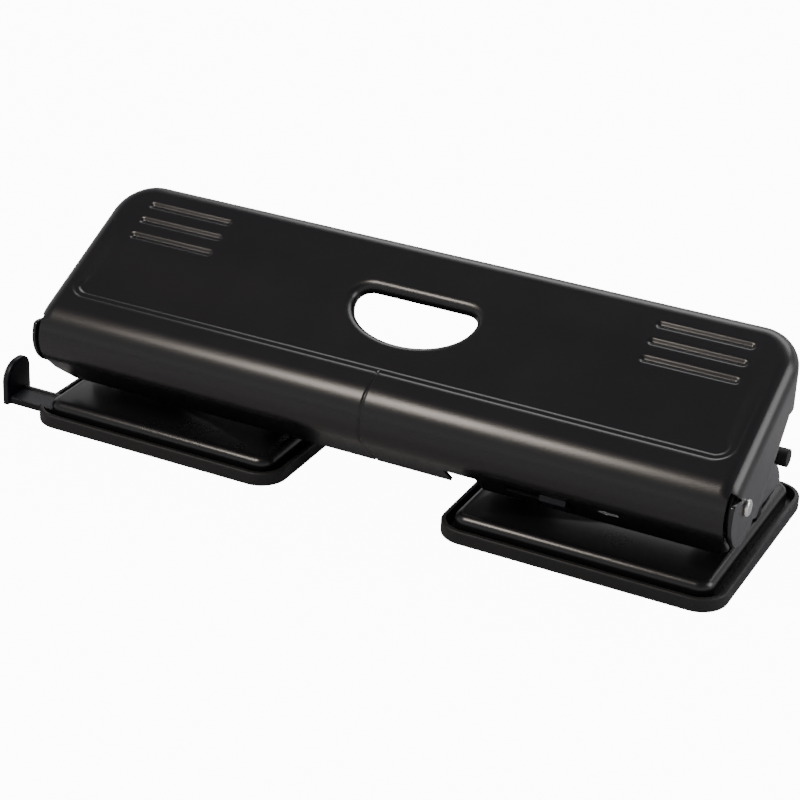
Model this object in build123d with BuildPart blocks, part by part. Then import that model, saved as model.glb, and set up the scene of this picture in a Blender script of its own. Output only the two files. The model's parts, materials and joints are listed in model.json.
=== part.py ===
from build123d import *
import math
import os

# Four-hole office punch: two bases, one long lever, four sprung punch pins.
# Millimetres.  X runs along the lever (right is +X), Y runs from the paper side
# to the back, Z is up.  The origin is on the table, midway between the two bases.

os.makedirs("parts", exist_ok=True)

# ---------------------------------------------------------------- hole pattern
HOLE_PITCH = 80.0          # 80-80-80 filing pattern
HOLE_EDGE = 12.0           # hole centre to the paper's edge
PIN_DIA = 5.5
PIN_Y = -4.0
RUN_FIT = 0.05             # radial clearance of a pin or shaft in its bore
PIN_X = [(-1.5 + i) * HOLE_PITCH for i in range(4)]
PAPER_STOP_Y = PIN_Y + HOLE_EDGE

# ----------------------------------------------------------------------- bases
TRAY_W = HOLE_PITCH + 20.0
TRAY_D = 90.0
TRAY_H = 5.0
TRAY_CORNER = 10.0
TRAY_WALL = 1.6
TRAY_FLOOR = 1.4
GROOVE = 2.9               # gap between the tray's rim and the steel base
BASE_SHEET = 1.0
BASE_TOP = 8.0
BASE_BEND = 3.0
BASE_BEND_IN = 0.7         # the same bend inside, clear of the die strip
SEAT_GAP = 0.05
TRAY_EDGE = 0.7
DIE_T = 2.0
DIE_D = 14.0
DIE_MARGIN = 0.75
DIE_RELIEF = 0.3           # the base's hole is wider than the die's

# --------------------------------------------------------------- frame channel
FRAME_SHEET = 1.5
FRAME_Z = 20.0             # underside of the channel's web
THROAT = 3.0               # height of the paper slot
HOUSING_IN = HOLE_PITCH / 2 - 11.0    # ends of a housing, from the base's middle
HOUSING_OUT = HOLE_PITCH / 2 + 4.0
HOUSING_CORNER = 2.0
LEAD_IN = 1.5              # bevel over the mouth of the paper slot
HOUSING_Y = (-14.0, 14.0)
CHANNEL_Y = (-16.0, 14.0)
FLANGE_FRONT_H = 9.0
FLANGE_REAR_H = 5.0
CHEEK_GAP = 0.9            # between a cheek and the lever's side wall
CHEEK_SETBACK = 3.5        # a cheek's front lobe is this much smaller than the roll
CHEEK_REAR = (0.0, 16.0, 16.5)   # centre y, centre z and radius of the rear lobe

# ---------------------------------------------------------------- lever handle
PIVOT_Y = -28.0
PIVOT_Z = 32.0
ROLL_R = 13.0
SHEET = 1.2
TILT = 26.8                # slope of the panel at rest
HANDLE_L = 3 * HOLE_PITCH + 20.0
HANDLE_REAR_Y = 27.0
HANDLE_REAR_Z = 48.0       # lower edge of the rear skirt
EDGE_R = 6.0
CORNER_R = 15.0
ROLL_SETBACK = 2.8         # the roll stops short of the side walls
LIP_ANGLE = 225.0          # where the roll runs out into its flat lip
LIP_LEN = 15.0
LIP_CUT = (5.0, 7.0)       # corner cut off each end of the lip, across and along it
LOBE_R = 13.0
WALL_EDGE = [(9.5, HANDLE_REAR_Z - 0.4), (PIVOT_Y + 13.4, PIVOT_Z - 10.0)]

# panel features, measured up the panel from its tangent with the roll
FIELD_HALF = HANDLE_L / 2 - 8.5
FIELD_FROM = 7.5
FIELD_TO = 57.0
FIELD_DEPTH = 0.4
FIELD_CORNER = 8.0
GROOVE_FROM = [37.5, 45.0, 52.5]
GROOVE_X = (HANDLE_L / 2 - 49.0, HANDLE_L / 2 - 15.0)
GROOVE_W = 2.6
GROOVE_DEPTH = 0.6
HAND_W = 45.5
HAND_LOW = 20.5
HAND_HIGH = 40.4
HAND_CORNER = 5.0
HAND_LIP = 4.0
MARK_W = 1.2
MARK_DEPTH = 0.4
NOTCH_X = (28.3, 40.0)
NOTCH_H = 10.0

# ------------------------------------------------------------------- pin train
PIN_REST = 12.0            # cutting tip at rest
PIN_TOP = PIN_REST + 28.0
PIN_GRIND = 0.8
WASHER_Z = PIN_TOP - 3.5
WASHER_T = 1.0
WASHER_R = PIN_DIA / 2 + 2.05
SPRING_R = PIN_DIA / 2 + 1.05
SPRING_WIRE = 0.9
SPRING_TURNS = 4.5
PRESS_R = 4.0              # rounded edge that bears on the pins
PRESS_GAP = 0.05
PRESS_SHEET = 1.5
PRESS_INNER = 34.5
PRESS_END_GAP = 1.0        # clear of the panel's bend at the outer end

# -------------------------------------------------------------- pivots, fasteners
RIVET_R = 2.0
RIVET_HEAD_R = 2.9
RIVET_HEAD_T = 1.4
PIVOT_WASHER_R = 6.0
SCREW_R = 1.5
SCREW_HEAD_R = 2.8
SCREW_HEAD_T = 1.9
SCREW_Y = 9.0
SCREW_DEPTH = 6.0          # into the housing
BASE_RIVET_R = 1.5
BASE_RIVET_HEAD_R = 2.6
BASE_RIVET_HEAD_T = 1.0
BASE_RIVET_DEPTH = 4.0
RIVET_Y = 11.0
SIDE_PLAY = 0.05           # end play of the lever on its rivets

# ------------------------------------------------------------------------ lock
LOCK_X = (49.0, 87.0)      # inner plate at rest; it covers the slot at both ends
LOCK_BUTTON_X = (64.2, 73.4)
LOCK_SLOT_X = (50.6, 74.4)
LOCK_SLOT_W = 6.0
LOCK_ALONG = 4.6           # slot centre, down the lip from the roll
LOCK_PLATE_T = 1.0
LOCK_BUTTON_H = 1.8
LOCK_BUTTON_OVER = 0.6     # how far the button covers the slot's edges
LOCK_PLATE_ALONG = (0.6, 14.0)
LOCK_GAP = 0.1
LOCK_NECK_INSET = 0.4
LOCK_FINGER_X = (63.5, 67.5)
LOCK_FINGER_T = 1.6
LOCK_FINGER_IN = (0.7, 1.0)   # finger's middle behind, its foot below, the plate's corner
LOCK_FINGER_TOP = FRAME_Z + 2.5
CATCH_X = (50.5, 58.5)
CATCH_AHEAD = 2.7          # catch's hook in front of the finger
CATCH_T = 1.2
CATCH_LOW = FRAME_Z + 0.2
CATCH_TOP = FRAME_Z + 5.2

# ------------------------------------------------------------------ paper guide
GUIDE_Y = (-TRAY_D / 2 + 6.1, -TRAY_D / 2 + 16.5)
GUIDE_Z = (TRAY_FLOOR + 0.3, TRAY_FLOOR + 2.8)
GUIDE_FACE_X = -HOLE_PITCH - TRAY_W / 2 - 12.0
GUIDE_PADDLE_T = 2.2
GUIDE_PADDLE_Y = (GUIDE_Y[0] - 1.6, GUIDE_Y[1] + 2.0)
GUIDE_PADDLE_TOP = 17.3
GUIDE_IN_X = GUIDE_FACE_X + 44.0
GUIDE_GAP = 0.2
GUIDE_LIP = 0.8            # raised back edge of the bar
GUIDE_LIP_T = 1.5
GUIDE_RAIL_X = GUIDE_FACE_X + 20.0
GUIDE_RAIL_L = 22.0
GUIDE_RAIL_T = 1.5
GUIDE_FRONT_R = 7.5
GUIDE_REAR_R = 4.5

# ---------------------------------------------------------------- tray hinge, buffer
HINGE_Y = TRAY_D / 2 - 3.0
HINGE_Z = TRAY_FLOOR + 1.8
HINGE_R = 0.8
KNUCKLE_R = 1.4
KNUCKLE_X = (18.0, 26.0)   # from the base's middle
EAR_X = (26.4, 29.0)
EAR_HALF = 1.2
BUFFER_X = (HANDLE_L / 2 - 26.0, HANDLE_L / 2 - 3.5)
BUFFER_Y = HANDLE_REAR_Y + 2.0
BUFFER_Z = 22.5
BUFFER_R = 3.2
BUFFER_WEB = 3.2
BUFFER_FOOT = 9.0
BUFFER_OVERHANG = 5.0      # the roller bar reaches this far past its web
BUFFER_FOOT_T = 2.5
BUFFER_PEG_R = 2.0
BUFFER_PEG_X = HOLE_PITCH / 2 - 5.0   # from the base's middle

# --------------------------------------------------------------- derived places
HALF_L = HANDLE_L / 2
BASE_W = TRAY_W - 2 * (TRAY_WALL + GROOVE)
BASE_D = TRAY_D - 2 * (TRAY_WALL + GROOVE)
BASE_CORNER = TRAY_CORNER - TRAY_WALL - GROOVE
tilt = math.radians(TILT)
TANGENT_Y = PIVOT_Y - ROLL_R * math.sin(tilt)
TANGENT_Z = PIVOT_Z + ROLL_R * math.cos(tilt)
REAR_TOP_Z = TANGENT_Z + (HANDLE_REAR_Y - TANGENT_Y) * math.tan(tilt)
WALL_IN = HALF_L - SHEET
CHEEK_OUT = WALL_IN - CHEEK_GAP
CHEEK_IN = CHEEK_OUT - FRAME_SHEET
CHEEK_R = ROLL_R - CHEEK_SETBACK
SPRING_Z = FRAME_Z + FRAME_SHEET
SIDES = {"left": -1, "right": 1}

PANEL = Plane(origin=(0, TANGENT_Y, TANGENT_Z), x_dir=(1, 0, 0),
              z_dir=(0, -math.sin(tilt), math.cos(tilt)))


def lip_frame():
    """Start of the flat lip on the roll, its direction and its outward normal."""
    a = math.radians(LIP_ANGLE)
    normal = (math.cos(a), math.sin(a))
    start = (PIVOT_Y + ROLL_R * normal[0], PIVOT_Z + ROLL_R * normal[1])
    along = (-normal[1], normal[0])
    return start, along, normal


def lip_point(along_len, out):
    """A point given along the lip and outwards from its outer face, as (y, z)."""
    start, along, normal = lip_frame()
    return (start[0] + along[0] * along_len + normal[0] * out,
            start[1] + along[1] * along_len + normal[1] * out)


def housing_span(x):
    """Inner and outer end of the housing round the pin at x, seen from its base's middle."""
    centre = math.copysign(HOLE_PITCH, x)
    side = math.copysign(1, x - centre)
    return centre + side * HOUSING_IN, centre + side * HOUSING_OUT


def save(part, label):
    """Label a finished piece and write it."""
    part.label = label
    export_step(part, "parts/" + label + ".step")


def handle_outline(inset):
    """Side outline of the lever's closed form, drawn inset from its outer face."""
    radius = ROLL_R - inset
    rear = HANDLE_REAR_Y - inset
    mid = math.radians(180 - (90 - TILT) / 2)
    front = (PIVOT_Y - radius, PIVOT_Z)
    on_roll = (PIVOT_Y + radius * math.cos(mid), PIVOT_Z + radius * math.sin(mid))
    tangent = (PIVOT_Y - radius * math.sin(tilt), PIVOT_Z + radius * math.cos(tilt))
    top = (rear, tangent[1] + (rear - tangent[0]) * math.tan(tilt))
    with BuildLine() as outline:
        Line((front[0], 0), front)
        ThreePointArc(front, on_roll, tangent)
        Polyline(tangent, top, (rear, 0), (front[0], 0))
    return outline


def handle_form(inset):
    """The lever's closed form with its corners and panel edges rounded."""
    with BuildPart() as form:
        with BuildSketch(Plane.YZ):
            add(handle_outline(inset).line)
            make_face()
        extrude(amount=HALF_L - inset, both=True)
        fillet(edges().filter_by(Axis.Z).sort_by(Axis.Y)[-2:], radius=CORNER_R - inset)
        panel_face = faces().filter_by(lambda f: f.normal_at().dot(PANEL.z_dir) > 0.999)[0]
        rim = panel_face.edges().filter_by(lambda e: e.center().Z > TANGENT_Z + 1)
        fillet(rim, radius=EDGE_R - inset)
    return form.part


def hand_outline(grow):
    """The D-shaped hand opening on the panel's plane, grown outwards."""
    half = HAND_W / 2 + grow
    high = HAND_HIGH + grow
    low = HAND_LOW - grow
    corner = HAND_CORNER + grow
    turn = corner * math.sqrt(0.5)
    with BuildLine() as outline:
        EllipticalCenterArc((0, high - corner), half, high - corner - low, start_angle=180,
                            arc_size=180)
        ThreePointArc((half, high - corner), (half - corner + turn, high - corner + turn),
                      (half - corner, high))
        Line((half - corner, high), (corner - half, high))
        ThreePointArc((corner - half, high), (corner - half - turn, high - corner + turn),
                      (-half, high - corner))
    return outline


# ------------------------------------------------------------------ lever handle
# One pressing: sloping panel, rear skirt and side walls, with the panel's front
# edge rolled round the pivot line and run out into a flat lip.
with BuildPart() as handle:
    add(handle_form(0))
    add(handle_form(SHEET), mode=Mode.SUBTRACT)
    # everything below the walls' slanted edge and the rear skirt is open
    with BuildSketch(Plane.YZ):
        with BuildLine():
            Polyline((HANDLE_REAR_Y + 5, HANDLE_REAR_Z), (WALL_EDGE[0][0], HANDLE_REAR_Z),
                     WALL_EDGE[0], WALL_EDGE[1], (PIVOT_Y, PIVOT_Z - 5), (PIVOT_Y, -5),
                     (HANDLE_REAR_Y + 5, -5), (HANDLE_REAR_Y + 5, HANDLE_REAR_Z))
        make_face()
    extrude(amount=HALF_L + 1, both=True, mode=Mode.SUBTRACT)
    # the roll and the pivot lobes are formed apart from the side walls
    with BuildSketch(Plane.YZ):
        with Locations((PIVOT_Y - ROLL_R, PIVOT_Z + ROLL_R * 0.7)):
            Rectangle(2 * ROLL_R, 80, align=(Align.CENTER, Align.MAX))
    extrude(amount=HALF_L + 1, both=True, mode=Mode.SUBTRACT)
    # roll: a curved strip from the panel's tangent round to the lip
    with BuildSketch(Plane.YZ):
        lip_rad = math.radians(LIP_ANGLE)
        with BuildLine():
            top_rad = math.pi / 2 + tilt
            mid_rad = (top_rad + lip_rad) / 2
            rings = []
            for radius in (ROLL_R, ROLL_R - SHEET):
                rings.append([(PIVOT_Y + radius * math.cos(a), PIVOT_Z + radius * math.sin(a))
                              for a in (top_rad, mid_rad, lip_rad)])
            ThreePointArc(*rings[0])
            Polyline(rings[0][2], lip_point(LIP_LEN, 0), lip_point(LIP_LEN, -SHEET), rings[1][2])
            ThreePointArc(*rings[1][::-1])
            Line(rings[1][0], rings[0][0])
        make_face()
    extrude(amount=HALF_L - ROLL_SETBACK, both=True)
    # pivot lobes, in the plane of the side walls
    for side in (-1, 1):
        with BuildSketch(Plane.YZ.offset(side * HALF_L)):
            with Locations((PIVOT_Y, PIVOT_Z)):
                Circle(LOBE_R)
            with BuildLine():
                Polyline((PIVOT_Y, PIVOT_Z - 6), WALL_EDGE[1], (WALL_EDGE[1][0] + 8, WALL_EDGE[1][1] + 8.5),
                         (PIVOT_Y, PIVOT_Z + 6), (PIVOT_Y, PIVOT_Z - 6))
            make_face()
            with Locations(Location((TANGENT_Y, TANGENT_Z), TILT)):
                Rectangle(60, EDGE_R, align=(Align.CENTER, Align.MAX), mode=Mode.SUBTRACT)
        extrude(amount=-side * SHEET)
    # pressed features of the panel
    with BuildSketch(PANEL):
        with Locations((0, (FIELD_FROM + FIELD_TO) / 2)):
            RectangleRounded(2 * FIELD_HALF, FIELD_TO - FIELD_FROM, FIELD_CORNER)
        add(hand_outline(HAND_LIP).line)
        make_face(mode=Mode.SUBTRACT)
    extrude(amount=-FIELD_DEPTH, mode=Mode.SUBTRACT)
    with BuildSketch(PANEL.offset(-FIELD_DEPTH)):
        groove_mid = (GROOVE_X[0] + GROOVE_X[1]) / 2
        for side in (-1, 1):
            with Locations([(side * groove_mid, up) for up in GROOVE_FROM]):
                SlotOverall(GROOVE_X[1] - GROOVE_X[0], GROOVE_W)
    extrude(amount=-GROOVE_DEPTH, mode=Mode.SUBTRACT)
    # hand opening with its lip turned inwards
    with BuildSketch(PANEL):
        add(hand_outline(SHEET).line)
        make_face()
    extrude(amount=-HAND_LIP)
    with BuildSketch(PANEL.offset(1)):
        add(hand_outline(0).line)
        make_face()
    extrude(amount=-HAND_LIP - 2, mode=Mode.SUBTRACT)
    # centre mark, lock slot and relief notch of the roll
    with BuildSketch(Plane.YZ):
        with Locations((PIVOT_Y, PIVOT_Z)):
            Circle(ROLL_R + 1)
            Circle(ROLL_R - MARK_DEPTH, mode=Mode.SUBTRACT)
        with Locations((PIVOT_Y - ROLL_R * 0.75, PIVOT_Z)):
            Rectangle(60, 60, align=(Align.MIN, Align.CENTER), mode=Mode.SUBTRACT)
    extrude(amount=MARK_W / 2, both=True, mode=Mode.SUBTRACT)
    start, along, normal = lip_frame()
    lip_plane = Plane(origin=(0, start[0], start[1]), x_dir=(1, 0, 0), z_dir=(0, normal[0], normal[1]))
    with BuildSketch(lip_plane.offset(1)):
        slot_mid = (LOCK_SLOT_X[0] + LOCK_SLOT_X[1]) / 2
        slot_side = math.copysign(1, lip_plane.y_dir.Y * along[0] + lip_plane.y_dir.Z * along[1])
        with Locations((slot_mid, slot_side * LOCK_ALONG)):
            RectangleRounded(LOCK_SLOT_X[1] - LOCK_SLOT_X[0], LOCK_SLOT_W, 1.2)
    extrude(amount=-SHEET - 2, mode=Mode.SUBTRACT)
    with BuildSketch(lip_plane.offset(1)):
        with Locations(((NOTCH_X[0] + NOTCH_X[1]) / 2, slot_side * LIP_LEN)):
            Rectangle(NOTCH_X[1] - NOTCH_X[0], 2 * NOTCH_H)
    extrude(amount=-SHEET - 2, mode=Mode.SUBTRACT)
    for side in (-1, 1):
        end = side * (HALF_L - ROLL_SETBACK)
        with BuildSketch(lip_plane.offset(1)):
            with BuildLine():
                Polyline((end + side, slot_side * (LIP_LEN - LIP_CUT[1])),
                         (end, slot_side * (LIP_LEN - LIP_CUT[1])),
                         (end - side * LIP_CUT[0], slot_side * LIP_LEN),
                         (end - side * LIP_CUT[0], slot_side * (LIP_LEN + 1)),
                         (end + side, slot_side * (LIP_LEN + 1)),
                         (end + side, slot_side * (LIP_LEN - LIP_CUT[1])))
            make_face()
        extrude(amount=-SHEET - 2, mode=Mode.SUBTRACT)
    # pivot holes, with running clearance on the rivets
    with BuildSketch(Plane.YZ):
        with Locations((PIVOT_Y, PIVOT_Z)):
            Circle(RIVET_R + RUN_FIT)
    extrude(amount=HALF_L + 1, both=True, mode=Mode.SUBTRACT)
save(handle.part, "handle")


# ------------------------------------------------------------- press bars
# A folded strip under each half of the panel; its rounded edge pushes two pins.
def press_outline(inset):
    """Section of the folded strip: two legs up to the panel and a rounded edge."""
    radius = PRESS_R - inset
    centre_z = PIN_TOP + PRESS_GAP + PRESS_R
    with BuildLine() as outline:
        Polyline((PIN_Y - radius, centre_z), (PIN_Y - radius, 80), (PIN_Y + radius, 80),
                 (PIN_Y + radius, centre_z))
        ThreePointArc((PIN_Y + radius, centre_z), (PIN_Y, centre_z - radius),
                      (PIN_Y - radius, centre_z))
    return outline


for name, side in SIDES.items():
    press_length = HALF_L - EDGE_R - PRESS_END_GAP - PRESS_INNER
    with BuildPart() as press_bar:
        with BuildSketch(Plane.YZ.offset(side * PRESS_INNER)):
            add(press_outline(0).line)
            make_face()
            with BuildLine():
                add(press_outline(PRESS_SHEET).line)
            make_face(mode=Mode.SUBTRACT)
            with Locations(Location((TANGENT_Y, TANGENT_Z), TILT)):
                with Locations((0, -SHEET)):
                    Rectangle(300, 100, align=(Align.CENTER, Align.MIN), mode=Mode.SUBTRACT)
        extrude(amount=side * press_length)
    save(press_bar.part, "press_bar_" + name)


# -------------------------------------------------------------- frame channel
# One folded steel channel over both bases; its ends stand up as pivot cheeks.
def cheek_face():
    """Outline of an end cheek: pivot lobe, rear lobe and a level lower edge."""
    with BuildSketch() as cheek:
        with Locations((PIVOT_Y, PIVOT_Z)):
            Circle(CHEEK_R)
        with Locations(CHEEK_REAR[:2]):
            Circle(CHEEK_REAR[2])
        make_hull()
        with Locations((0, FRAME_Z)):
            Rectangle(200, 60, align=(Align.CENTER, Align.MAX), mode=Mode.SUBTRACT)
    return cheek.sketch


with BuildPart() as frame_channel:
    with BuildSketch(Plane.YZ):
        front, rear = CHANNEL_Y
        with BuildLine():
            Polyline((front, FRAME_Z + FLANGE_FRONT_H), (front, FRAME_Z), (rear, FRAME_Z),
                     (rear, FRAME_Z + FLANGE_REAR_H))
            offset(amount=FRAME_SHEET, side=Side.LEFT)
        make_face()
    extrude(amount=CHEEK_IN, both=True)
    for side in (-1, 1):
        with BuildSketch(Plane.YZ.offset(side * CHEEK_OUT)):
            add(cheek_face())
            with Locations((PIVOT_Y, PIVOT_Z)):
                Circle(RIVET_R, mode=Mode.SUBTRACT)
        extrude(amount=-side * FRAME_SHEET)
    with BuildSketch(Plane.XY.offset(FRAME_Z)):
        with Locations([(x, PIN_Y) for x in PIN_X]):
            Circle(PIN_DIA / 2 + RUN_FIT)
        with Locations([(x, SCREW_Y) for x in PIN_X]):
            Circle(SCREW_R)
    extrude(amount=FRAME_SHEET, mode=Mode.SUBTRACT)
save(frame_channel.part, "frame_channel")

# ------------------------------------------------------------- punch housings
# Cast blocks that guide the pins; each has the paper slot cut in from the front.
for number, x in enumerate(PIN_X, start=1):
    near, far = housing_span(x)
    with BuildPart() as punch_housing:
        with BuildSketch(Plane.XY.offset(BASE_TOP)):
            with Locations(((near + far) / 2, sum(HOUSING_Y) / 2)):
                RectangleRounded(abs(far - near), HOUSING_Y[1] - HOUSING_Y[0], HOUSING_CORNER)
        extrude(amount=FRAME_Z - BASE_TOP)
        with BuildSketch(Plane.YZ.offset(min(near, far) - 1)):
            with BuildLine():
                Polyline((HOUSING_Y[0] - 1, BASE_TOP), (PAPER_STOP_Y, BASE_TOP),
                         (PAPER_STOP_Y, BASE_TOP + THROAT), (HOUSING_Y[0] + LEAD_IN, BASE_TOP + THROAT),
                         (HOUSING_Y[0] - 1, BASE_TOP + THROAT + LEAD_IN + 1),
                         (HOUSING_Y[0] - 1, BASE_TOP))
            make_face()
        extrude(amount=abs(far - near) + 2, mode=Mode.SUBTRACT)
        with Locations((x, PIN_Y, FRAME_Z)):
            Hole(PIN_DIA / 2 + RUN_FIT)
        with Locations((x, SCREW_Y, FRAME_Z)):
            Hole(SCREW_R, depth=SCREW_DEPTH)
        with Locations(Location((x, RIVET_Y, BASE_TOP), (180, 0, 0))):
            Hole(BASE_RIVET_R, depth=BASE_RIVET_DEPTH)
    save(punch_housing.part, "punch_housing_" + str(number))

# ------------------------------------------------------------------- bases
# Pressed steel plates, open below, each with a hardened die strip underneath.
for name, side in SIDES.items():
    centre = side * HOLE_PITCH
    dies = [(x, PIN_Y) for x in PIN_X if x * side > 0]
    with BuildPart() as base_plate:
        with BuildSketch(Plane.XY.offset(TRAY_FLOOR + SEAT_GAP)):
            with Locations((centre, 0)):
                RectangleRounded(BASE_W, BASE_D, BASE_CORNER)
        extrude(amount=BASE_TOP - TRAY_FLOOR - SEAT_GAP)
        fillet(faces().sort_by(Axis.Z)[-1].edges(), radius=BASE_BEND)
        with BuildPart(mode=Mode.SUBTRACT):
            with BuildSketch(Plane.XY.offset(TRAY_FLOOR)):
                with Locations((centre, 0)):
                    RectangleRounded(BASE_W - 2 * BASE_SHEET, BASE_D - 2 * BASE_SHEET,
                                     BASE_CORNER - BASE_SHEET)
            extrude(amount=BASE_TOP - BASE_SHEET - TRAY_FLOOR)
            fillet(faces().sort_by(Axis.Z)[-1].edges(), radius=BASE_BEND_IN)
        with BuildSketch(Plane.XY.offset(BASE_TOP)):
            with Locations(dies):
                Circle(PIN_DIA / 2 + DIE_RELIEF)
            with Locations([(x, RIVET_Y) for x, _ in dies]):
                Circle(BASE_RIVET_R)
            with Locations((centre + side * BUFFER_PEG_X, BUFFER_Y)):
                Circle(BUFFER_PEG_R)
        extrude(amount=-BASE_SHEET, mode=Mode.SUBTRACT)
        # ears for the tray's hinge pin, on the back wall
        with BuildSketch(Plane.YZ.offset(centre)):
            with BuildLine():
                Polyline((BASE_D / 2 - BASE_SHEET, HINGE_Z - EAR_HALF), (HINGE_Y, HINGE_Z - EAR_HALF))
                ThreePointArc((HINGE_Y, HINGE_Z - EAR_HALF), (HINGE_Y + EAR_HALF, HINGE_Z),
                              (HINGE_Y, HINGE_Z + EAR_HALF))
                Polyline((HINGE_Y, HINGE_Z + EAR_HALF), (BASE_D / 2 - BASE_SHEET, HINGE_Z + EAR_HALF),
                         (BASE_D / 2 - BASE_SHEET, HINGE_Z - EAR_HALF))
            make_face()
        extrude(amount=EAR_X[1], both=True)
        with BuildSketch(Plane.YZ.offset(centre)):
            with Locations((BASE_D / 2, HINGE_Z)):
                Rectangle(20, 20, align=(Align.MIN, Align.CENTER))
        extrude(amount=EAR_X[0], both=True, mode=Mode.SUBTRACT)
        with BuildSketch(Plane.YZ.offset(centre)):
            with Locations((HINGE_Y, HINGE_Z)):
                Circle(HINGE_R)
        extrude(amount=EAR_X[1] + 1, both=True, mode=Mode.SUBTRACT)
        if name == "left":
            with BuildSketch(Plane.YZ.offset(centre - BASE_W / 2 - 1)):
                with Locations((sum(GUIDE_Y) / 2, 0)):
                    Rectangle(GUIDE_Y[1] - GUIDE_Y[0] + 2 * GUIDE_GAP, GUIDE_Z[1] + GUIDE_LIP + GUIDE_GAP,
                              align=(Align.CENTER, Align.MIN))
            extrude(amount=BASE_CORNER + 1.5, mode=Mode.SUBTRACT)
    save(base_plate.part, "base_plate_" + name)

    with BuildPart() as die_plate:
        with BuildSketch(Plane.XY.offset(BASE_TOP - BASE_SHEET)):
            with Locations((centre, PIN_Y)):
                RectangleRounded(BASE_W - 2 * BASE_SHEET - 2 * DIE_MARGIN, DIE_D, 2)
            with Locations(dies):
                Circle(PIN_DIA / 2 + RUN_FIT, mode=Mode.SUBTRACT)
        extrude(amount=-DIE_T)
    save(die_plate.part, "die_plate_" + name)

    with BuildPart() as chip_tray:
        with BuildSketch():
            with Locations((centre, 0)):
                RectangleRounded(TRAY_W, TRAY_D, TRAY_CORNER)
        extrude(amount=TRAY_H)
        fillet(faces().sort_by(Axis.Z)[-1].edges(), radius=TRAY_EDGE)
        fillet(faces().sort_by(Axis.Z)[0].edges(), radius=TRAY_EDGE)
        with BuildSketch(Plane.XY.offset(TRAY_FLOOR)):
            with Locations((centre, 0)):
                RectangleRounded(TRAY_W - 2 * TRAY_WALL, TRAY_D - 2 * TRAY_WALL,
                                 TRAY_CORNER - TRAY_WALL)
        extrude(amount=TRAY_H, mode=Mode.SUBTRACT)
        # hinge knuckles behind the base's back wall
        for end in (-1, 1):
            with BuildSketch(Plane.YZ.offset(centre + end * KNUCKLE_X[0])):
                with BuildLine():
                    Polyline((HINGE_Y + KNUCKLE_R, TRAY_FLOOR), (HINGE_Y - KNUCKLE_R, TRAY_FLOOR),
                             (HINGE_Y - KNUCKLE_R, HINGE_Z))
                    ThreePointArc((HINGE_Y - KNUCKLE_R, HINGE_Z), (HINGE_Y, HINGE_Z + KNUCKLE_R),
                                  (HINGE_Y + KNUCKLE_R, HINGE_Z))
                    Line((HINGE_Y + KNUCKLE_R, HINGE_Z), (HINGE_Y + KNUCKLE_R, TRAY_FLOOR))
                make_face()
                with Locations((HINGE_Y, HINGE_Z)):
                    Circle(HINGE_R + RUN_FIT, mode=Mode.SUBTRACT)
            extrude(amount=end * (KNUCKLE_X[1] - KNUCKLE_X[0]))
        if name == "left":
            with BuildSketch(Plane.YZ.offset(centre - TRAY_W / 2 - 1)):
                with Locations((sum(GUIDE_Y) / 2, GUIDE_Z[0] - GUIDE_GAP / 2)):
                    Rectangle(GUIDE_Y[1] - GUIDE_Y[0] + GUIDE_GAP, 20,
                              align=(Align.CENTER, Align.MIN))
            extrude(amount=TRAY_CORNER, mode=Mode.SUBTRACT)
            with BuildSketch(Plane.XY.offset(TRAY_FLOOR)):
                with Locations((GUIDE_RAIL_X, GUIDE_Y[1] + GUIDE_GAP)):
                    Rectangle(GUIDE_RAIL_L, GUIDE_RAIL_T, align=(Align.MIN, Align.MIN))
            extrude(amount=GUIDE_Z[1] - TRAY_FLOOR)
    save(chip_tray.part, "chip_tray_" + name)

    with BuildPart() as tray_pin:
        with BuildSketch(Plane.YZ.offset(centre)):
            with Locations((HINGE_Y, HINGE_Z)):
                Circle(HINGE_R)
        extrude(amount=EAR_X[1], both=True)
    save(tray_pin.part, "tray_hinge_pin_" + name)

    with BuildPart() as base_rivets:
        with BuildSketch(Plane.XY.offset(BASE_TOP - BASE_SHEET)):
            with Locations([(x, RIVET_Y) for x, _ in dies]):
                Circle(BASE_RIVET_R)
        extrude(amount=BASE_SHEET + BASE_RIVET_DEPTH)
        with BuildSketch(Plane.XY.offset(BASE_TOP - BASE_SHEET)):
            with Locations([(x, RIVET_Y) for x, _ in dies]):
                Circle(BASE_RIVET_HEAD_R)
        extrude(amount=-BASE_RIVET_HEAD_T)
    save(base_rivets.part, "base_rivets_" + name)

    with BuildPart() as frame_screws:
        with BuildSketch(Plane.XY.offset(FRAME_Z + FRAME_SHEET)):
            with Locations([(x, SCREW_Y) for x, _ in dies]):
                Circle(SCREW_HEAD_R)
        extrude(amount=SCREW_HEAD_T)
        fillet(edges().sort_by(Axis.Z)[-2:], radius=SCREW_HEAD_T * 0.5)
        with BuildSketch(Plane.XY.offset(FRAME_Z + FRAME_SHEET)):
            with Locations([(x, SCREW_Y) for x, _ in dies]):
                Circle(SCREW_R)
        extrude(amount=-FRAME_SHEET - SCREW_DEPTH)
    save(frame_screws.part, "frame_screws_" + name)

    with BuildPart() as stop_buffer:
        near, far = [side * x for x in BUFFER_X]
        with BuildSketch(Plane.YZ.offset(near)):
            with Locations((BUFFER_Y, BUFFER_Z)):
                Circle(BUFFER_R)
        extrude(amount=far - near)
        with BuildSketch(Plane.YZ.offset(near)):
            with Locations((BUFFER_Y, BASE_TOP)):
                Rectangle(BUFFER_WEB, BUFFER_Z - BASE_TOP, align=(Align.CENTER, Align.MIN))
                Rectangle(BUFFER_FOOT, BUFFER_FOOT_T, align=(Align.CENTER, Align.MIN))
        extrude(amount=far - near - side * BUFFER_OVERHANG)
        with Locations((centre + side * BUFFER_PEG_X, BUFFER_Y, BASE_TOP)):
            Cylinder(BUFFER_PEG_R, BASE_SHEET, align=(Align.CENTER, Align.CENTER, Align.MAX))
    save(stop_buffer.part, "stop_buffer_" + name)


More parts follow.
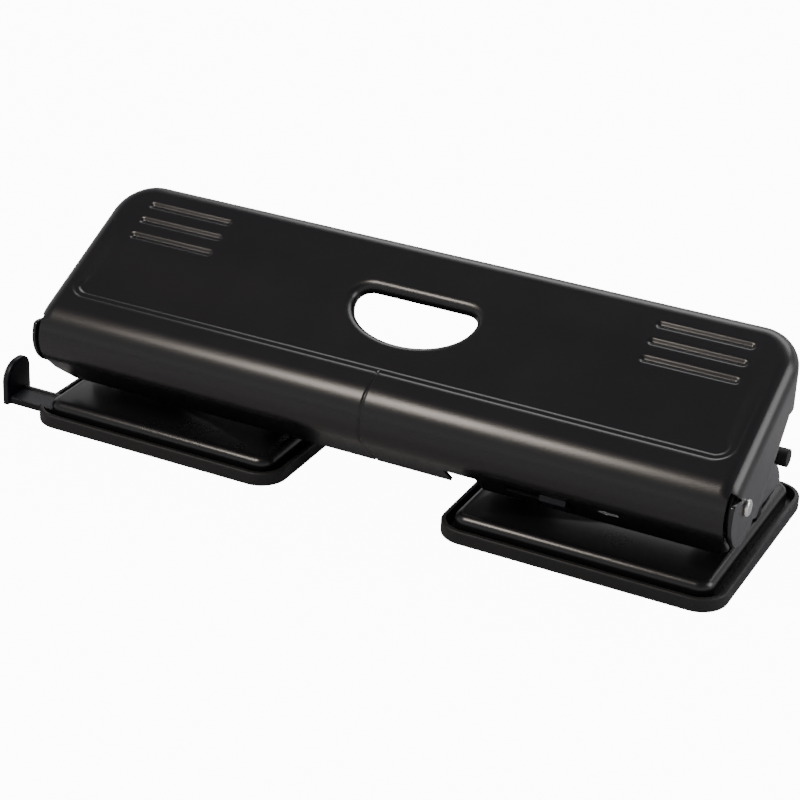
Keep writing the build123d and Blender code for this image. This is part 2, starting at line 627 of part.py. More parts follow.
# ------------------------------------------------------------ pins and springs
for number, x in enumerate(PIN_X, start=1):
    with BuildPart() as punch_pin:
        with BuildSketch(Plane.XY.offset(PIN_REST)):
            with Locations((x, PIN_Y)):
                Circle(PIN_DIA / 2)
        extrude(amount=PIN_TOP - PIN_REST)
        chamfer(edges().sort_by(Axis.Z)[-1], length=0.3)
        # the cutting end is ground to a shallow V
        with BuildSketch(Plane.YZ.offset(x)):
            with BuildLine():
                Polyline((PIN_Y - PIN_DIA / 2, PIN_REST), (PIN_Y, PIN_REST + PIN_GRIND),
                         (PIN_Y + PIN_DIA / 2, PIN_REST), (PIN_Y - PIN_DIA / 2, PIN_REST))
            make_face()
        extrude(amount=PIN_DIA, both=True, mode=Mode.SUBTRACT)
    save(punch_pin.part, "punch_pin_" + str(number))

    with BuildPart() as pin_washer:
        with BuildSketch(Plane.XY.offset(WASHER_Z)):
            with Locations((x, PIN_Y)):
                Circle(WASHER_R)
                Circle(PIN_DIA / 2, mode=Mode.SUBTRACT)
        extrude(amount=WASHER_T)
    save(pin_washer.part, "pin_washer_" + str(number))

    spring_low = SPRING_Z + SPRING_WIRE / 2
    spring_high = WASHER_Z - SPRING_WIRE / 2 - SIDE_PLAY
    with BuildPart() as return_spring:
        with BuildLine():
            coil = Helix(pitch=(spring_high - spring_low) / SPRING_TURNS,
                         height=spring_high - spring_low, radius=SPRING_R,
                         center=(x, PIN_Y, spring_low))
        with BuildSketch(Plane(origin=coil @ 0, z_dir=coil % 0)):
            Circle(SPRING_WIRE / 2)
        sweep(is_frenet=True)
    save(return_spring.part, "return_spring_" + str(number))

# ------------------------------------------------------------------- pivots
for name, side in SIDES.items():
    with BuildPart() as pivot_rivet:
        with BuildSketch(Plane.YZ.offset(side * (CHEEK_IN - RIVET_HEAD_T))):
            with Locations((PIVOT_Y, PIVOT_Z)):
                Circle(RIVET_HEAD_R)
        extrude(amount=side * RIVET_HEAD_T)
        with BuildSketch(Plane.YZ.offset(side * CHEEK_IN)):
            with Locations((PIVOT_Y, PIVOT_Z)):
                Circle(RIVET_R)
        extrude(amount=side * (HALF_L + SIDE_PLAY - CHEEK_IN))
        with BuildSketch(Plane.YZ.offset(side * (HALF_L + SIDE_PLAY))):
            with Locations((PIVOT_Y, PIVOT_Z)):
                Circle(RIVET_HEAD_R)
        extrude(amount=side * RIVET_HEAD_T)
        outer_edge = edges().sort_by(Axis.X)[-1 if side > 0 else 0]
        fillet(outer_edge, radius=RIVET_HEAD_T * 0.6)
    save(pivot_rivet.part, "pivot_rivet_" + name)

    with BuildPart() as pivot_washer:
        with BuildSketch(Plane.YZ.offset(side * CHEEK_OUT)):
            with Locations((PIVOT_Y, PIVOT_Z)):
                Circle(PIVOT_WASHER_R)
                Circle(RIVET_R, mode=Mode.SUBTRACT)
        extrude(amount=side * (WALL_IN - CHEEK_OUT - SIDE_PLAY))
    save(pivot_washer.part, "pivot_washer_" + name)

# --------------------------------------------------------------------- lock
# A moulded slide, held in the lip's slot between its button and inner plate.
with BuildPart() as lock_slider:
    inner = -SHEET - LOCK_GAP
    low, high = LOCK_PLATE_ALONG
    with BuildSketch(Plane.YZ.offset(LOCK_X[0])):
        with BuildLine():
            Polyline(lip_point(low, inner), lip_point(high, inner),
                     lip_point(high, inner - LOCK_PLATE_T), lip_point(low, inner - LOCK_PLATE_T),
                     lip_point(low, inner))
        make_face()
    extrude(amount=LOCK_X[1] - LOCK_X[0])
    # neck through the slot, then the button over its edges
    half = LOCK_SLOT_W / 2 - 2 * LOCK_GAP
    with BuildSketch(Plane.YZ.offset(LOCK_BUTTON_X[0] + LOCK_NECK_INSET)):
        with BuildLine():
            Polyline(lip_point(LOCK_ALONG - half, inner), lip_point(LOCK_ALONG + half, inner),
                     lip_point(LOCK_ALONG + half, LOCK_GAP), lip_point(LOCK_ALONG - half, LOCK_GAP),
                     lip_point(LOCK_ALONG - half, inner))
        make_face()
    extrude(amount=LOCK_BUTTON_X[1] - LOCK_BUTTON_X[0] - 2 * LOCK_NECK_INSET)
    half = LOCK_SLOT_W / 2 + LOCK_BUTTON_OVER
    with BuildSketch(Plane.YZ.offset(LOCK_BUTTON_X[0])):
        with BuildLine():
            Polyline(lip_point(LOCK_ALONG - half, LOCK_GAP), lip_point(LOCK_ALONG + half, LOCK_GAP),
                     lip_point(LOCK_ALONG + half - 1, LOCK_GAP + LOCK_BUTTON_H),
                     lip_point(LOCK_ALONG - half + 1, LOCK_GAP + LOCK_BUTTON_H),
                     lip_point(LOCK_ALONG - half, LOCK_GAP))
        make_face()
    extrude(amount=LOCK_BUTTON_X[1] - LOCK_BUTTON_X[0])
    corner = lip_point(high, inner - LOCK_PLATE_T)
    finger_y = corner[0] + LOCK_FINGER_IN[0]
    finger_low = corner[1] - LOCK_FINGER_IN[1]
    with BuildSketch(Plane.YZ.offset(LOCK_FINGER_X[0])):
        with Locations((finger_y, finger_low)):
            Rectangle(LOCK_FINGER_T, LOCK_FINGER_TOP - finger_low, align=(Align.CENTER, Align.MIN))
    extrude(amount=LOCK_FINGER_X[1] - LOCK_FINGER_X[0])
save(lock_slider.part, "lock_slider")

with BuildPart() as lock_catch:
    hook_y = finger_y - CATCH_AHEAD
    with BuildSketch(Plane.YZ.offset(CATCH_X[0])):
        with BuildLine():
            Polyline((CHANNEL_Y[0], FRAME_Z + FRAME_SHEET), (CHANNEL_Y[0], CATCH_TOP),
                     (hook_y, CATCH_TOP), (hook_y, CATCH_LOW))
            offset(amount=CATCH_T, side=Side.LEFT)
        make_face()
    extrude(amount=CATCH_X[1] - CATCH_X[0])
save(lock_catch.part, "lock_catch")

# -------------------------------------------------------------- paper guide
# A moulded bar that slides in the left tray, with a paddle at its outer end.
with BuildPart() as paper_guide:
    with BuildSketch(Plane.XY.offset(GUIDE_Z[0])):
        with Locations((GUIDE_FACE_X - GUIDE_PADDLE_T, GUIDE_Y[0])):
            Rectangle(GUIDE_IN_X - GUIDE_FACE_X + GUIDE_PADDLE_T, GUIDE_Y[1] - GUIDE_Y[0],
                      align=(Align.MIN, Align.MIN))
    extrude(amount=GUIDE_Z[1] - GUIDE_Z[0])
    with BuildSketch(Plane.XY.offset(GUIDE_Z[1])):
        with Locations((GUIDE_FACE_X - GUIDE_PADDLE_T, GUIDE_Y[1] - GUIDE_LIP_T)):
            Rectangle(GUIDE_IN_X - GUIDE_FACE_X + GUIDE_PADDLE_T, GUIDE_LIP_T,
                      align=(Align.MIN, Align.MIN))
    extrude(amount=GUIDE_LIP)
    with BuildSketch(Plane.YZ.offset(GUIDE_FACE_X)):
        front, rear = GUIDE_PADDLE_Y
        top = GUIDE_PADDLE_TOP
        with BuildLine():
            Polyline((rear, top - GUIDE_REAR_R), (rear, GUIDE_Z[0]), (front, GUIDE_Z[0]),
                     (front, top - GUIDE_FRONT_R))
            RadiusArc((front, top - GUIDE_FRONT_R), (front + GUIDE_FRONT_R, top), GUIDE_FRONT_R)
            Line((front + GUIDE_FRONT_R, top), (rear - GUIDE_REAR_R, top))
            RadiusArc((rear - GUIDE_REAR_R, top), (rear, top - GUIDE_REAR_R), GUIDE_REAR_R)
        make_face()
    extrude(amount=-GUIDE_PADDLE_T)
save(paper_guide.part, "paper_guide")
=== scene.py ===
import json
import math

import bmesh
import bpy
import numpy as np
from mathutils import Matrix, Vector

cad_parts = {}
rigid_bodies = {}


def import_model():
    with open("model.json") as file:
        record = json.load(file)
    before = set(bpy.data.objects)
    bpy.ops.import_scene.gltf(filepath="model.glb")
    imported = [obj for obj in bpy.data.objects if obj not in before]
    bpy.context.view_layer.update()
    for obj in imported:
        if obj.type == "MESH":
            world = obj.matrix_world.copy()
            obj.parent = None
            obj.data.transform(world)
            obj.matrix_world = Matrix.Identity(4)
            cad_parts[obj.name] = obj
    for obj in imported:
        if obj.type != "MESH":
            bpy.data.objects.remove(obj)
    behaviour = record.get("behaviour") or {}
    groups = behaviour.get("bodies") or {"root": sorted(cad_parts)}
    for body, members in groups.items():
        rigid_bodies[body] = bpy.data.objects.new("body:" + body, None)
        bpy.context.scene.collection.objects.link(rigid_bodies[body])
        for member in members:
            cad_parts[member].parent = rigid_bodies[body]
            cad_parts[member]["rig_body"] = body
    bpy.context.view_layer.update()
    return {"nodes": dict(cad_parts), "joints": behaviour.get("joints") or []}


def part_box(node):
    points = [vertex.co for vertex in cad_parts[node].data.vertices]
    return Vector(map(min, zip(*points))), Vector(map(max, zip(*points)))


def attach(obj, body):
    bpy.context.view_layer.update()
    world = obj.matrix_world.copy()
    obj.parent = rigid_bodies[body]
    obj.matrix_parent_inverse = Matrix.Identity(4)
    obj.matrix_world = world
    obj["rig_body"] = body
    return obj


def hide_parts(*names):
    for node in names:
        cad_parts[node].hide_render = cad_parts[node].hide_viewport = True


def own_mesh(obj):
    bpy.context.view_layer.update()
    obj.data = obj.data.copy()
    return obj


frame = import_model()
nodes = frame["nodes"]
MM = 0.001
SIDES = ("left", "right")
PINS = (1, 2, 3, 4)

# ------------------------------------------------------------------ the table
# A pale, matt table top under the punch, lifted to white where it is seen.
# It is part of the setting only.
TABLE_HALF = 3.0
SEEN_WHITE = 12.0


def colour_node(tree, kind, place, **values):
    """A shader node at a place in its tree, with its named inputs set."""
    node = tree.nodes.new(kind)
    node.location = place
    for name, value in values.items():
        node.inputs[name.replace("_", " ")].default_value = value
    return node


def blank_material(name):
    """A material with only its output and a Principled shader, joined."""
    material = bpy.data.materials.new(name)
    material.use_nodes = True
    tree = material.node_tree
    tree.nodes.clear()
    output = colour_node(tree, "ShaderNodeOutputMaterial", (600, 0))
    shader = colour_node(tree, "ShaderNodeBsdfPrincipled", (300, 0))
    tree.links.new(shader.outputs["BSDF"], output.inputs["Surface"])
    return material, tree, shader


table_mesh = bpy.data.meshes.new("table_top")
table_mesh.from_pydata([(-TABLE_HALF, -TABLE_HALF, 0), (TABLE_HALF, -TABLE_HALF, 0),
                        (TABLE_HALF, TABLE_HALF, 0), (-TABLE_HALF, TABLE_HALF, 0)], [], [(0, 1, 2, 3)])
table_top = bpy.data.objects.new("table_top", table_mesh)
bpy.context.scene.collection.objects.link(table_top)
table_paint, table_tree, table_shader = blank_material("pale_table")
table_shader.inputs["Base Color"].default_value = (0.5, 0.5, 0.52, 1)
table_shader.inputs["Roughness"].default_value = 0.7
table_shader.inputs["Specular IOR Level"].default_value = 0.2
table_shader.inputs["Emission Color"].default_value = (1, 1, 1, 1)
table_seen = colour_node(table_tree, "ShaderNodeLightPath", (-200, -300))
table_lift = colour_node(table_tree, "ShaderNodeMath", (0, -300))
table_lift.operation = "MULTIPLY"
table_lift.inputs[1].default_value = SEEN_WHITE
table_tree.links.new(table_seen.outputs["Is Camera Ray"], table_lift.inputs[0])
table_tree.links.new(table_lift.outputs[0], table_shader.inputs["Emission Strength"])
table_mesh.materials.append(table_paint)

# ------------------------------------------------------- camera, light, room
# A long lens from the right and above; a warm soft box over the left front,
# a pale room behind, and a dim ceiling, so that the black paint stays deep.
VIEW_AZIMUTH = math.radians(25.84)
VIEW_ELEVATION = math.radians(26.40)
VIEW_ROLL = math.radians(2.53)
VIEW_DISTANCE = 0.7913
VIEW_AIM = Vector((-0.0080, 0.0063, 0.0189))
LENS = 101.55

back = Vector((math.sin(VIEW_AZIMUTH) * math.cos(VIEW_ELEVATION),
               -math.cos(VIEW_AZIMUTH) * math.cos(VIEW_ELEVATION),
               math.sin(VIEW_ELEVATION)))
level_right = Vector((0, 0, 1)).cross(back).normalized()
level_up = back.cross(level_right)
right = level_right * math.cos(VIEW_ROLL) + level_up * math.sin(VIEW_ROLL)
camera_data = bpy.data.cameras.new("camera")
camera_data.lens = LENS
camera = bpy.data.objects.new("camera", camera_data)
camera.matrix_world = Matrix.Translation(VIEW_AIM + back * VIEW_DISTANCE) @ Matrix(
    (right, back.cross(right), back)).transposed().to_4x4()
bpy.context.scene.collection.objects.link(camera)
bpy.context.scene.camera = camera


def soft_box(name, place, target, size, power, colour=(1, 1, 1)):
    """An area light of a given size that faces its target."""
    data = bpy.data.lights.new(name, "AREA")
    data.shape = "RECTANGLE"
    data.size, data.size_y = size
    data.energy = power
    data.color = colour
    light = bpy.data.objects.new(name, data)
    light.location = place
    light.rotation_euler = (Vector(target) - Vector(place)).to_track_quat("-Z", "Y").to_euler()
    bpy.context.scene.collection.objects.link(light)
    return light


soft_box("front_box", (-0.29, -0.43, 0.69), (0.03, -0.03, 0.04), (0.22, 0.26), 4.4,
         colour=(1.0, 0.90, 0.80))
soft_box("side_box", (0.9, 0.25, 0.5), (0.1, 0, 0.03), (0.5, 0.5), 4.0)
soft_box("table_box", (0.0, 0.9, 0.9), (0.0, 0.2, 0.0), (1.4, 0.5), 8.0)

world = bpy.data.worlds.new("room")
world.use_nodes = True
sky = world.node_tree
sky.nodes.clear()
sky_out = colour_node(sky, "ShaderNodeOutputWorld", (800, 0))
sky_mix = colour_node(sky, "ShaderNodeMixShader", (600, 0))
sky_seen = colour_node(sky, "ShaderNodeBackground", (400, 120), Color=(1, 1, 1, 1),
                       Strength=SEEN_WHITE)
sky_light = colour_node(sky, "ShaderNodeBackground", (400, -80), Strength=1.0)
sky_path = colour_node(sky, "ShaderNodeLightPath", (400, 300))
sky_place = colour_node(sky, "ShaderNodeTexCoord", (-400, 0))
sky_split = colour_node(sky, "ShaderNodeSeparateXYZ", (-200, 0))
sky_ramp = colour_node(sky, "ShaderNodeValToRGB", (0, 0))
sky_ramp.color_ramp.elements[0].position = 0.05
sky_ramp.color_ramp.elements[0].color = (0.85, 0.85, 0.85, 1)
sky_ramp.color_ramp.elements[1].position = 0.75
sky_ramp.color_ramp.elements[1].color = (0.125, 0.125, 0.15, 1)
sky.links.new(sky_place.outputs["Generated"], sky_split.inputs[0])
sky.links.new(sky_split.outputs["Z"], sky_ramp.inputs["Fac"])
sky.links.new(sky_ramp.outputs["Color"], sky_light.inputs["Color"])
sky.links.new(sky_path.outputs["Is Camera Ray"], sky_mix.inputs["Fac"])
sky.links.new(sky_light.outputs[0], sky_mix.inputs[1])
sky.links.new(sky_seen.outputs[0], sky_mix.inputs[2])
sky.links.new(sky_mix.outputs[0], sky_out.inputs["Surface"])
bpy.context.scene.world = world

# ------------------------------------------------------------------ chip trays
# Two shallow trays of black polypropylene, moulded with a fine spark texture.
# They snap round the steel bases, swing on a wire at the back and are the feet.
MERGE = 1e-6


def surface_group(name):
    """Colour, roughness and bump height that vary a little over a made surface."""
    group = bpy.data.node_groups.new(name, "ShaderNodeTree")
    for socket, kind, value in (("Colour", "NodeSocketColor", (0.5, 0.5, 0.5, 1)),
                                ("Colour Spread", "NodeSocketFloat", 0.2),
                                ("Roughness", "NodeSocketFloat", 0.4),
                                ("Roughness Spread", "NodeSocketFloat", 0.1),
                                ("Cloud Scale", "NodeSocketFloat", 60.0),
                                ("Grain Scale", "NodeSocketFloat", 3000.0),
                                ("Stretch", "NodeSocketVector", (1, 1, 1))):
        entry = group.interface.new_socket(name=socket, in_out="INPUT", socket_type=kind)
        entry.default_value = value
    for socket, kind in (("Colour", "NodeSocketColor"), ("Roughness", "NodeSocketFloat"),
                         ("Height", "NodeSocketFloat")):
        group.interface.new_socket(name=socket, in_out="OUTPUT", socket_type=kind)
    given = colour_node(group, "NodeGroupInput", (-900, 0))
    result = colour_node(group, "NodeGroupOutput", (700, 0))
    place = colour_node(group, "ShaderNodeTexCoord", (-900, -300))
    stretch = colour_node(group, "ShaderNodeVectorMath", (-700, -300))
    stretch.operation = "MULTIPLY"
    clouds = colour_node(group, "ShaderNodeTexNoise", (-450, -100), Detail=4.0, Roughness=0.6)
    grain = colour_node(group, "ShaderNodeTexNoise", (-450, -400), Detail=2.0, Roughness=0.5)
    link = group.links.new
    link(place.outputs["Object"], stretch.inputs[0])
    link(given.outputs["Stretch"], stretch.inputs[1])
    link(stretch.outputs[0], clouds.inputs["Vector"])
    link(stretch.outputs[0], grain.inputs["Vector"])
    link(given.outputs["Cloud Scale"], clouds.inputs["Scale"])
    link(given.outputs["Grain Scale"], grain.inputs["Scale"])
    swing = colour_node(group, "ShaderNodeMath", (-200, -100))
    swing.operation = "SUBTRACT"
    swing.inputs[1].default_value = 0.5
    link(clouds.outputs["Fac"], swing.inputs[0])
    shade = colour_node(group, "ShaderNodeMath", (0, 100))
    shade.operation = "MULTIPLY_ADD"
    shade.inputs[2].default_value = 1.0
    link(swing.outputs[0], shade.inputs[0])
    link(given.outputs["Colour Spread"], shade.inputs[1])
    tint = colour_node(group, "ShaderNodeVectorMath", (250, 150))
    tint.operation = "SCALE"
    link(given.outputs["Colour"], tint.inputs[0])
    link(shade.outputs[0], tint.inputs["Scale"])
    rough = colour_node(group, "ShaderNodeMath", (0, -150))
    rough.operation = "MULTIPLY_ADD"
    link(swing.outputs[0], rough.inputs[0])
    link(given.outputs["Roughness Spread"], rough.inputs[1])
    link(given.outputs["Roughness"], rough.inputs[2])
    link(tint.outputs[0], result.inputs["Colour"])
    link(rough.outputs[0], result.inputs["Roughness"])
    link(grain.outputs["Fac"], result.inputs["Height"])
    return group


made_surface = surface_group("made_surface")


def finish_material(name, colour, roughness, grain, bump, metal=0.0, coat=0.0, clouds=60.0,
                    spread=(0.25, 0.1), stretch=(1, 1, 1), specular=0.5):
    """A material of this object: one Principled shader fed by the made_surface group."""
    material, tree, shader = blank_material(name)
    film = colour_node(tree, "ShaderNodeGroup", (-200, 0))
    film.node_tree = made_surface
    for socket, value in (("Colour", (*colour, 1)), ("Colour Spread", spread[0]),
                          ("Roughness", roughness), ("Roughness Spread", spread[1]),
                          ("Cloud Scale", clouds), ("Grain Scale", grain), ("Stretch", stretch)):
        film.inputs[socket].default_value = value
    relief = colour_node(tree, "ShaderNodeBump", (50, -200), Strength=1.0, Distance=bump)
    tree.links.new(film.outputs["Colour"], shader.inputs["Base Color"])
    tree.links.new(film.outputs["Roughness"], shader.inputs["Roughness"])
    tree.links.new(film.outputs["Height"], relief.inputs["Height"])
    tree.links.new(relief.outputs["Normal"], shader.inputs["Normal"])
    shader.inputs["Metallic"].default_value = metal
    shader.inputs["Specular IOR Level"].default_value = specular
    if coat:
        shader.inputs["Coat Weight"].default_value = coat
        shader.inputs["Coat Roughness"].default_value = 0.12
    return material


def smooth_by_angle(mesh, degrees):
    """Smooth shading, with the edges sharper than this angle kept sharp."""
    mesh.shade_smooth()
    mesh.set_sharp_from_angle(angle=math.radians(degrees))


def apply_modifiers(piece):
    """The piece's mesh with its modifiers worked in, and the modifiers gone."""
    seen = piece.evaluated_get(bpy.context.evaluated_depsgraph_get())
    mesh = bpy.data.meshes.new_from_object(seen)
    old = piece.data
    piece.modifiers.clear()
    piece.data = mesh
    mesh.name = piece.name
    if isinstance(old, bpy.types.Mesh):
        bpy.data.meshes.remove(old)


def finished_copy(node, material, edge=0.12, angle=28, segments=2):
    """A merged copy of a CAD node with its sharp edges broken, standing for that node."""
    source = nodes[node]
    shape = bmesh.new()
    shape.from_mesh(source.data)
    bmesh.ops.remove_doubles(shape, verts=shape.verts, dist=MERGE)
    bmesh.ops.dissolve_limit(shape, angle_limit=math.radians(0.3), verts=shape.verts, edges=shape.edges)
    mesh = bpy.data.meshes.new(node + "_finished")
    shape.to_mesh(mesh)
    shape.free()
    piece = bpy.data.objects.new(node + "_finished", mesh)
    bpy.context.scene.collection.objects.link(piece)
    if edge:
        broken = piece.modifiers.new("broken_edges", "BEVEL")
        broken.width = edge * MM
        broken.segments = segments
        broken.limit_method = "ANGLE"
        broken.angle_limit = math.radians(angle)
        broken.use_clamp_overlap = True
        apply_modifiers(piece)
    smooth_by_angle(piece.data, angle)
    piece.data.materials.clear()
    piece.data.materials.append(material)
    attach(piece, source["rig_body"])
    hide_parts(node)
    return piece


tray_plastic = finish_material("tray_plastic", (0.0105, 0.0105, 0.011), 0.52, 5200.0, 0.00003,
                               spread=(0.3, 0.12), specular=0.35)
for side in SIDES:
    finished_copy("chip_tray_" + side, tray_plastic, edge=0.15)

# ------------------------------------------------------------------ base plates
# Deep-drawn steel hats, stove-enamelled in glossy black like the lever.
# Each sits inside its tray and carries two punch housings on rivets.
base_enamel = finish_material("base_enamel", (0.0065, 0.0063, 0.0072), 0.28, 1400.0, 0.000006,
                              spread=(0.2, 0.06), clouds=40.0)
for side in SIDES:
    finished_copy("base_plate_" + side, base_enamel)

# ------------------------------------------------------- hinge wires and dies
# Drawn steel wires on which the trays swing, and ground, hardened die strips
# under the plates, straw-grey from tempering.
drawn_wire = finish_material("drawn_wire", (0.50, 0.50, 0.51), 0.3, 9000.0, 0.000004, metal=1.0,
                             stretch=(0.05, 1, 1))
ground_steel = finish_material("ground_steel", (0.46, 0.45, 0.44), 0.24, 12000.0, 0.000004, metal=1.0,
                               spread=(0.35, 0.12), stretch=(0.04, 1, 1))
for side in SIDES:
    finished_copy("tray_hinge_pin_" + side, drawn_wire, edge=0.08)
    finished_copy("die_plate_" + side, ground_steel, edge=0.1)

# ------------------------------------------------------------ punch housings
# Zinc castings with the paper slot milled in from the front, painted satin
# black; rivets hold them to the plates from below.
cast_black = finish_material("cast_black", (0.014, 0.014, 0.015), 0.42, 2200.0, 0.00004,
                             spread=(0.35, 0.15), clouds=150.0)
zinc_plate = finish_material("zinc_plate", (0.80, 0.79, 0.76), 0.27, 3500.0, 0.000004, metal=1.0,
                             spread=(0.16, 0.12), clouds=500.0)
for number in PINS:
    housing = finished_copy(f"punch_housing_{number}", cast_black, edge=0.25, segments=3)
for side in SIDES:
    finished_copy("base_rivets_" + side, zinc_plate)

# ------------------------------------------------------------- frame channel
# One folded channel of 1.5 mm steel over both bases, painted black before
# assembly; its ends are the cheeks that carry the lever.
frame_enamel = finish_material("frame_enamel", (0.009, 0.0087, 0.0092), 0.3, 1100.0, 0.000004,
                               spread=(0.25, 0.08), clouds=50.0)
finished_copy("frame_channel", frame_enamel, edge=0.2, segments=3)
finished_copy("lock_catch", zinc_plate)
for side in SIDES:
    finished_copy("frame_screws_" + side, zinc_plate)

# ------------------------------------------------------- pins and their washers
# Hardened 5.5 mm punch pins, ground along their length and hollow-ground at
# the tip; a washer pressed on each takes the thrust of its spring.
for number in PINS:
    finished_copy(f"punch_pin_{number}", ground_steel, edge=0.06)
    finished_copy(f"pin_washer_{number}", zinc_plate, edge=0.1)

# ------------------------------------------------------------- return springs
# Open coils of 0.9 mm spring wire between the channel and the pin's washer, each copied with a mesh of its
# own.
for number in PINS:
    spring = finished_copy(f"return_spring_{number}", drawn_wire, edge=0)
    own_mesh(spring)

# ----------------------------------------------------------- pivots of the lever
# Zinc-plated rivets with low domed heads, set through the lever's lobes and
# the cheeks, with a thin washer between.
for side in SIDES:
    finished_copy("pivot_rivet_" + side, zinc_plate, edge=0.1)
    finished_copy("pivot_washer_" + side, zinc_plate, edge=0.1)

# ------------------------------------------------------------------------ lever
# One pressing of 1.2 mm sheet in semi-gloss black enamel: a sloping panel with
# a sunk field, a hand opening and grip grooves, rolled over at the front round
# the pivots, and turned down at the sides and back.
lever_low, lever_high = (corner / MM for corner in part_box("handle"))
hinge = next(joint for joint in frame["joints"] if joint["name"] == "handle_press")
PIVOT_Y, PIVOT_Z = hinge["pos_m"][1] / MM, hinge["pos_m"][2] / MM
HALF_L = lever_high.x
REAR_Y = lever_high.y
ROLL_R = PIVOT_Y - lever_low.y
TILT = math.radians(26.8)
SHEET = 1.2
EDGE_R = 6.0
CORNER_R = 15.0
ROLL_END = HALF_L - 2.8
SKIRT_LOW = 48.0
WALL_CORNERS = ((9.5, 47.6), (PIVOT_Y + 13.4, PIVOT_Z - 10.0))
LOBE_RISE = 6.0
LIP_ANGLE = math.radians(225.0)
LIP_LEN = 15.0
LIP_CUT, LIP_CUT_ALONG = 5.0, 7.0
LIP_SQUEEZE = 12.0
SLOT_TURN = math.radians(136.0)
EAR_SPAN = math.radians(22.0)
DROP_SPAN = math.radians(16.0)
FIELD_FRONT = 7.3
FIELD_SIDE = HALF_L - 8.0
FIELD_CORNER = 5.5
FIELD_DEPTH = 1.0
FIELD_FADE = (14.0, 46.0)
FIELD_OUTER_SHARE, FIELD_OUTER_W, FIELD_OUTER_RAMP = 0.35, 2.3, 1.1
FIELD_RAMP, FIELD_SIDE_RAMP = 1.0, 2.6
GRIP_ROWS = (37.5, 45.0, 52.5)
GRIP_ENDS = (82.3, 113.7)
GRIP_HALF = 1.8
GRIP_DEPTH = 0.8
MARK_HALF = 0.7
MARK_DEPTH = 0.35
SLOT_X, SLOT_ALONG = (50.6, 74.4), (1.6, 7.6)
NOTCH_X, NOTCH_ALONG = (28.3, 40.0), 5.0
HAND_BLOCK_X, HAND_BLOCK_S = 31.0, (12.9, 49.0)
HAND_HALF, HAND_LOW, HAND_HIGH, HAND_CORNER = 22.75, 20.5, 40.4, 5.0
HAND_CENTRE = 32.0
HAND_ROLL_R = 3.3
HAND_LIP = 0.7

tilt_cos, tilt_sin = math.cos(TILT), math.sin(TILT)
tangent = np.array([PIVOT_Y - ROLL_R * tilt_sin, PIVOT_Z + ROLL_R * tilt_cos])
panel_out = np.array([0.0, -tilt_sin, tilt_cos])
corner_y = REAR_Y - CORNER_R
panel_side = HALF_L - EDGE_R
corner_s = (corner_y - EDGE_R * tilt_sin - tangent[0]) / tilt_cos
panel_top = corner_s + (CORNER_R - EDGE_R) / tilt_cos


def ease(t):
    """A smooth step from 0 to 1."""
    t = np.clip(t, 0.0, 1.0)
    return t * t * (3 - 2 * t)


def steps(*runs):
    """Ascending stations made of runs (start, end, spacing), each station once."""
    stations = []
    for start, end, spacing in runs:
        count = max(1, round((end - start) / spacing))
        stations.extend(start + (end - start) * k / count for k in range(count))
    return np.array(stations + [runs[-1][1]])


def corner_turn(s):
    """How far the plan has turned from the side wall to the back wall, at s up the panel."""
    return np.arcsin(np.clip((s - corner_s) * tilt_cos / (CORNER_R - EDGE_R), 0, 1))


def panel_relief(x, s):
    """Height of the pressed features over the flat panel: field, grip grooves and centre mark."""
    ax = np.abs(x)
    dx = ax - (FIELD_SIDE - FIELD_CORNER)
    ds = FIELD_FRONT + FIELD_CORNER - s
    outside = np.hypot(np.maximum(dx, 0), np.maximum(ds, 0)) - FIELD_CORNER
    outside = outside + np.minimum(np.maximum(dx, ds), 0)
    ramp = FIELD_RAMP + FIELD_SIDE_RAMP * ease((s - 9) / 8) * ease((dx + 4) / 6)
    depth = FIELD_DEPTH * (1 - ease((s - FIELD_FADE[0]) / (FIELD_FADE[1] - FIELD_FADE[0])))
    outer_step = FIELD_OUTER_SHARE * ease((FIELD_OUTER_W - outside) / FIELD_OUTER_RAMP)
    inner_step = (1 - FIELD_OUTER_SHARE) * ease(-outside / ramp)
    relief = -depth * (outer_step + inner_step)
    for row in GRIP_ROWS:
        along = np.maximum(np.maximum(ax - GRIP_ENDS[1], GRIP_ENDS[0] - ax), 0)
        away = np.hypot(along, s - row)
        relief = relief - GRIP_DEPTH * ease((GRIP_HALF - away) / GRIP_HALF)
    return relief - centre_mark(x) * ease((FIELD_FRONT - s) / 1.5)


def centre_mark(x):
    """Depth of the thin centre line pressed round the roll."""
    return MARK_DEPTH * ease((MARK_HALF - np.abs(x)) / (0.8 * MARK_HALF))


def panel_place(x, s, out=0.0):
    """A point x along and s up the panel, raised out from it."""
    y = tangent[0] + s * tilt_cos - out * tilt_sin
    z = tangent[1] + s * tilt_sin + out * tilt_cos
    return np.stack(np.broadcast_arrays(x, y, z), axis=-1)


def roll_place(x, turn, along, out=0.0):
    """A point on the roll at an angle about the pivot, or along the lip past the roll's end."""
    y = PIVOT_Y + (ROLL_R + out) * np.cos(turn) - along * np.sin(LIP_ANGLE)
    z = PIVOT_Z + (ROLL_R + out) * np.sin(turn) + along * np.cos(LIP_ANGLE)
    return np.stack(np.broadcast_arrays(x, y, z), axis=-1)


def add_grid(points, quads, grid, keep=None):
    """Add a grid of points and its quads, leaving out those that keep refuses."""
    start = len(points)
    rows, columns = grid.shape[:2]
    points.extend(map(tuple, grid.reshape(-1, 3)))
    for i in range(rows - 1):
        for j in range(columns - 1):
            if keep is None or keep(i, j):
                a = start + i * columns + j
                quads.append((a, a + 1, a + columns + 1, a + columns))


